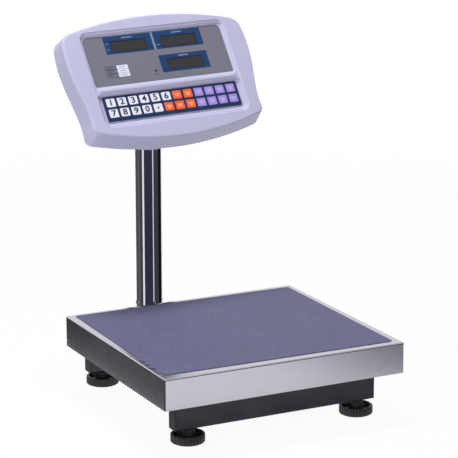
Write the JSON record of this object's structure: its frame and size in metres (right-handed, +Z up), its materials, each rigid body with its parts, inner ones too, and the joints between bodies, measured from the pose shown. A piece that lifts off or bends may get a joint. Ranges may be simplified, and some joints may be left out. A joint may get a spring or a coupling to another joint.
{
  "type": "retail price scale",
  "caption": "Price-computing platform scale: steel weighing platform on levelling feet, column, and a turning indicator head with displays and a keypad.",
  "frame": {"origin": "on the floor, under the middle of the scale's bounding box", "axes": "+Z up, out of the weighing surface; +Y to the back, from the operator to the column; +X to the operator's right"},
  "size_m": [0.37, 0.4784, 0.5167],
  "materials": {
    "frame_paint": "semi-gloss black paint",
    "end_cap_plastic": "moulded, matt",
    "zinc_steel": "zinc plated",
    "carrier_steel": "satin grey paint",
    "column_chrome": "polished",
    "cell_aluminium": "milled, satin",
    "rubber": "matt",
    "pan_stainless": "brushed stainless",
    "mat_film": "blue-violet film with a fine grain",
    "foot_plastic": "moulded, ribbed",
    "shell_plastic": "pale lilac-grey moulded plastic, fine texture",
    "sleeve_plastic": "moulded",
    "window_print": "printed grey film, satin",
    "display_glass": "dark display filter",
    "keypad_print": "printed navy film, satin",
    "board": "green circuit board",
    "black_plastic": "moulded",
    "key_white": "printed film key",
    "key_orange": "printed film key",
    "key_purple": "printed film key"
  },
  "bodies": {
    "base": {"base_front_beam": "frame_paint", "base_rear_beam": "frame_paint", "base_spine": "frame_paint", "beam_end_caps": "end_cap_plastic", "foot_nuts": "zinc_steel", "column_arm": "frame_paint", "column_socket": "carrier_steel", "column_tube": "column_chrome", "column_screws": "column_chrome", "load_cell": "cell_aluminium", "load_cell_mounts": "zinc_steel", "load_carrier": "carrier_steel", "carrier_pads": "rubber", "overload_stops": "zinc_steel"},
    "platform": {"platform_pan": "pan_stainless", "platform_mat": "mat_film"},
    "head": {"head_front_shell": "shell_plastic", "head_rear_shell": "shell_plastic", "head_sleeve": "sleeve_plastic", "head_screws": "zinc_steel", "display_window": "window_print", "display_modules": "display_glass", "keypad_panel": "keypad_print", "main_board": "board", "battery": "black_plastic", "rear_display_window": "display_glass", "switch_frame": "black_plastic"},
    "foot_front_left_seat": {"foot_sole_front_left": "rubber"},
    "foot_front_left_screw": {"foot_wheel_front_left": "foot_plastic"},
    "foot_front_right_seat": {"foot_sole_front_right": "rubber"},
    "foot_front_right_screw": {"foot_wheel_front_right": "foot_plastic"},
    "foot_rear_left_seat": {"foot_sole_rear_left": "rubber"},
    "foot_rear_left_screw": {"foot_wheel_rear_left": "foot_plastic"},
    "foot_rear_right_seat": {"foot_sole_rear_right": "rubber"},
    "foot_rear_right_screw": {"foot_wheel_rear_right": "foot_plastic"},
    "switch": {"switch_rocker": "black_plastic"},
    "key_r1_c01": {"key_r1_c01": "key_white"},
    "key_r1_c02": {"key_r1_c02": "key_white"},
    "key_r1_c03": {"key_r1_c03": "key_white"},
    "key_r1_c04": {"key_r1_c04": "key_white"},
    "key_r1_c05": {"key_r1_c05": "key_white"},
    "key_r1_c06": {"key_r1_c06": "key_white"},
    "key_r1_c07": {"key_r1_c07": "key_orange"},
    "key_r1_c08": {"key_r1_c08": "key_orange"},
    "key_r1_c09": {"key_r1_c09": "key_purple"},
    "key_r1_c10": {"key_r1_c10": "key_purple"},
    "key_r1_c11": {"key_r1_c11": "key_purple"},
    "key_r1_c12": {"key_r1_c12": "key_purple"},
    "key_r2_c01": {"key_r2_c01": "key_white"},
    "key_r2_c02": {"key_r2_c02": "key_white"},
    "key_r2_c03": {"key_r2_c03": "key_white"},
    "key_r2_c04": {"key_r2_c04": "key_white"},
    "key_r2_c05": {"key_r2_c05": "key_white"},
    "key_r2_c06": {"key_r2_c06": "key_orange"},
    "key_r2_c07": {"key_r2_c07": "key_orange"},
    "key_r2_c08": {"key_r2_c08": "key_orange"},
    "key_r2_c09": {"key_r2_c09": "key_purple"},
    "key_r2_c10": {"key_r2_c10": "key_purple"},
    "key_r2_c11": {"key_r2_c11": "key_purple"},
    "key_r2_c12": {"key_r2_c12": "key_purple"}
  },
  "joints": [
    {"name": "head_swivel", "type": "hinge", "parent": "base", "child": "head", "pos_m": [-0.0065, 0.18978, 0.398], "axis": [0, 0, 1], "range_deg": [-97.83, 82.17]},
    {"name": "platform_lift", "type": "slide", "parent": "base", "child": "platform", "axis": [0, 0, 1], "range_m": [0, 0.08]},
    {"name": "foot_front_left_lift", "type": "slide", "parent": "base", "child": "foot_front_left_seat", "axis": [0, 0, -1], "range_m": [0, 0.012]},
    {"name": "foot_front_left_turn", "type": "hinge", "parent": "foot_front_left_seat", "child": "foot_front_left_screw", "pos_m": [-0.1377, -0.21042, 0], "axis": [0, 0, -1], "range_deg": [0, 2880]},
    {"name": "foot_front_right_lift", "type": "slide", "parent": "base", "child": "foot_front_right_seat", "axis": [0, 0, -1], "range_m": [0, 0.012]},
    {"name": "foot_front_right_turn", "type": "hinge", "parent": "foot_front_right_seat", "child": "foot_front_right_screw", "pos_m": [0.1247, -0.21042, 0], "axis": [0, 0, -1], "range_deg": [0, 2880]},
    {"name": "foot_rear_left_lift", "type": "slide", "parent": "base", "child": "foot_rear_left_seat", "axis": [0, 0, -1], "range_m": [0, 0.012]},
    {"name": "foot_rear_left_turn", "type": "hinge", "parent": "foot_rear_left_seat", "child": "foot_rear_left_screw", "pos_m": [-0.1377, 0.07318, 0], "axis": [0, 0, -1], "range_deg": [0, 2880]},
    {"name": "foot_rear_right_lift", "type": "slide", "parent": "base", "child": "foot_rear_right_seat", "axis": [0, 0, -1], "range_m": [0, 0.012]},
    {"name": "foot_rear_right_turn", "type": "hinge", "parent": "foot_rear_right_seat", "child": "foot_rear_right_screw", "pos_m": [0.1247, 0.07318, 0], "axis": [0, 0, -1], "range_deg": [0, 2880]},
    {"name": "power_switch", "type": "hinge", "parent": "head", "child": "switch", "pos_m": [0.05007, 0.23349, 0.358], "axis": [-0.9907, -0.1362, 0], "range_deg": [0, 16]},
    {"name": "key_r1_c01_press", "type": "slide", "parent": "head", "child": "key_r1_c01", "axis": [-0.116, 0.8432, -0.5249], "range_m": [0, 0.0004], "stiffness_N_per_m": 1500},
    {"name": "key_r1_c02_press", "type": "slide", "parent": "head", "child": "key_r1_c02", "axis": [-0.116, 0.8432, -0.5249], "range_m": [0, 0.0004], "stiffness_N_per_m": 1500},
    {"name": "key_r1_c03_press", "type": "slide", "parent": "head", "child": "key_r1_c03", "axis": [-0.116, 0.8432, -0.5249], "range_m": [0, 0.0004], "stiffness_N_per_m": 1500},
    {"name": "key_r1_c04_press", "type": "slide", "parent": "head", "child": "key_r1_c04", "axis": [-0.116, 0.8432, -0.5249], "range_m": [0, 0.0004], "stiffness_N_per_m": 1500},
    {"name": "key_r1_c05_press", "type": "slide", "parent": "head", "child": "key_r1_c05", "axis": [-0.116, 0.8432, -0.5249], "range_m": [0, 0.0004], "stiffness_N_per_m": 1500},
    {"name": "key_r1_c06_press", "type": "slide", "parent": "head", "child": "key_r1_c06", "axis": [-0.116, 0.8432, -0.5249], "range_m": [0, 0.0004], "stiffness_N_per_m": 1500},
    {"name": "key_r1_c07_press", "type": "slide", "parent": "head", "child": "key_r1_c07", "axis": [-0.116, 0.8432, -0.5249], "range_m": [0, 0.0004], "stiffness_N_per_m": 1500},
    {"name": "key_r1_c08_press", "type": "slide", "parent": "head", "child": "key_r1_c08", "axis": [-0.116, 0.8432, -0.5249], "range_m": [0, 0.0004], "stiffness_N_per_m": 1500},
    {"name": "key_r1_c09_press", "type": "slide", "parent": "head", "child": "key_r1_c09", "axis": [-0.116, 0.8432, -0.5249], "range_m": [0, 0.0004], "stiffness_N_per_m": 1500},
    {"name": "key_r1_c10_press", "type": "slide", "parent": "head", "child": "key_r1_c10", "axis": [-0.116, 0.8432, -0.5249], "range_m": [0, 0.0004], "stiffness_N_per_m": 1500},
    {"name": "key_r1_c11_press", "type": "slide", "parent": "head", "child": "key_r1_c11", "axis": [-0.116, 0.8432, -0.5249], "range_m": [0, 0.0004], "stiffness_N_per_m": 1500},
    {"name": "key_r1_c12_press", "type": "slide", "parent": "head", "child": "key_r1_c12", "axis": [-0.116, 0.8432, -0.5249], "range_m": [0, 0.0004], "stiffness_N_per_m": 1500},
    {"name": "key_r2_c01_press", "type": "slide", "parent": "head", "child": "key_r2_c01", "axis": [-0.116, 0.8432, -0.5249], "range_m": [0, 0.0004], "stiffness_N_per_m": 1500},
    {"name": "key_r2_c02_press", "type": "slide", "parent": "head", "child": "key_r2_c02", "axis": [-0.116, 0.8432, -0.5249], "range_m": [0, 0.0004], "stiffness_N_per_m": 1500},
    {"name": "key_r2_c03_press", "type": "slide", "parent": "head", "child": "key_r2_c03", "axis": [-0.116, 0.8432, -0.5249], "range_m": [0, 0.0004], "stiffness_N_per_m": 1500},
    {"name": "key_r2_c04_press", "type": "slide", "parent": "head", "child": "key_r2_c04", "axis": [-0.116, 0.8432, -0.5249], "range_m": [0, 0.0004], "stiffness_N_per_m": 1500},
    {"name": "key_r2_c05_press", "type": "slide", "parent": "head", "child": "key_r2_c05", "axis": [-0.116, 0.8432, -0.5249], "range_m": [0, 0.0004], "stiffness_N_per_m": 1500},
    {"name": "key_r2_c06_press", "type": "slide", "parent": "head", "child": "key_r2_c06", "axis": [-0.116, 0.8432, -0.5249], "range_m": [0, 0.0004], "stiffness_N_per_m": 1500},
    {"name": "key_r2_c07_press", "type": "slide", "parent": "head", "child": "key_r2_c07", "axis": [-0.116, 0.8432, -0.5249], "range_m": [0, 0.0004], "stiffness_N_per_m": 1500},
    {"name": "key_r2_c08_press", "type": "slide", "parent": "head", "child": "key_r2_c08", "axis": [-0.116, 0.8432, -0.5249], "range_m": [0, 0.0004], "stiffness_N_per_m": 1500},
    {"name": "key_r2_c09_press", "type": "slide", "parent": "head", "child": "key_r2_c09", "axis": [-0.116, 0.8432, -0.5249], "range_m": [0, 0.0004], "stiffness_N_per_m": 1500},
    {"name": "key_r2_c10_press", "type": "slide", "parent": "head", "child": "key_r2_c10", "axis": [-0.116, 0.8432, -0.5249], "range_m": [0, 0.0004], "stiffness_N_per_m": 1500},
    {"name": "key_r2_c11_press", "type": "slide", "parent": "head", "child": "key_r2_c11", "axis": [-0.116, 0.8432, -0.5249], "range_m": [0, 0.0004], "stiffness_N_per_m": 1500},
    {"name": "key_r2_c12_press", "type": "slide", "parent": "head", "child": "key_r2_c12", "axis": [-0.116, 0.8432, -0.5249], "range_m": [0, 0.0004], "stiffness_N_per_m": 1500}
  ],
  "couplings": [
    {"joint": "foot_front_left_turn", "follows": "foot_front_left_lift", "rad_per_m": 4188.8},
    {"joint": "foot_front_right_turn", "follows": "foot_front_right_lift", "rad_per_m": 4188.8},
    {"joint": "foot_rear_left_turn", "follows": "foot_rear_left_lift", "rad_per_m": 4188.8},
    {"joint": "foot_rear_right_turn", "follows": "foot_rear_right_lift", "rad_per_m": 4188.8}
  ]
}
